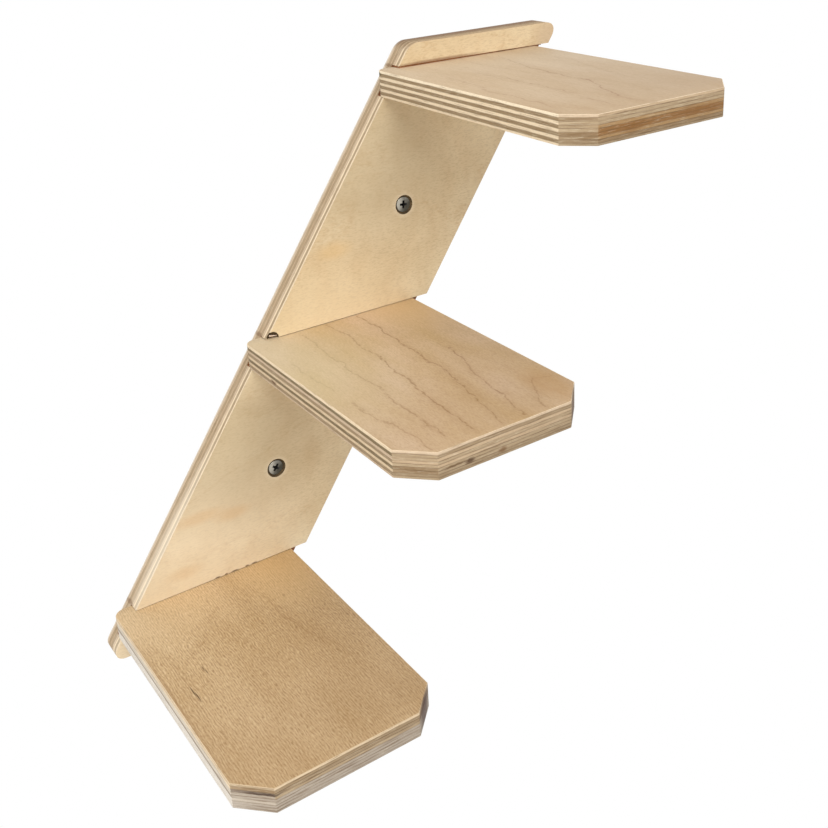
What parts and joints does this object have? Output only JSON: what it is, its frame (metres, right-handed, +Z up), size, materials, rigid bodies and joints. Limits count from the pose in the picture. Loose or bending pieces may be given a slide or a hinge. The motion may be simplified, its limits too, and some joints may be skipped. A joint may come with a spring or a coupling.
{
  "type": "cat stairs",
  "caption": "Wall-hung stairs for a cat: plywood treads with cut-off front corners, housed in a leaning plywood board that screws to the wall.",
  "frame": {"origin": "on the axis of the upper wall screw, in the plane of the wall that the board's rear face lies against", "axes": "+X along the wall to the right as seen from the room, +Y into the wall along the wall screws, +Z up"},
  "size_m": [0.2636, 0.1846, 0.261],
  "materials": {
    "board_plywood": "bare sanded birch plywood",
    "tread_top_plywood": "bare sanded birch plywood",
    "tread_middle_plywood": "bare sanded birch plywood",
    "tread_bottom_plywood": "bare sanded birch plywood, handled",
    "wall_screw_steel": "grey zinc-plated steel",
    "tread_screw_steel": "grey zinc-plated steel"
  },
  "bodies": {
    "root": {"back_board": "board_plywood", "tread_top": "tread_top_plywood", "tread_middle": "tread_middle_plywood", "tread_bottom": "tread_bottom_plywood", "wall_screw_upper": "wall_screw_steel", "wall_screw_lower": "wall_screw_steel", "tread_screws_top": "tread_screw_steel", "tread_screws_middle": "tread_screw_steel", "tread_screws_bottom": "tread_screw_steel"}
  },
  "joints": []
}
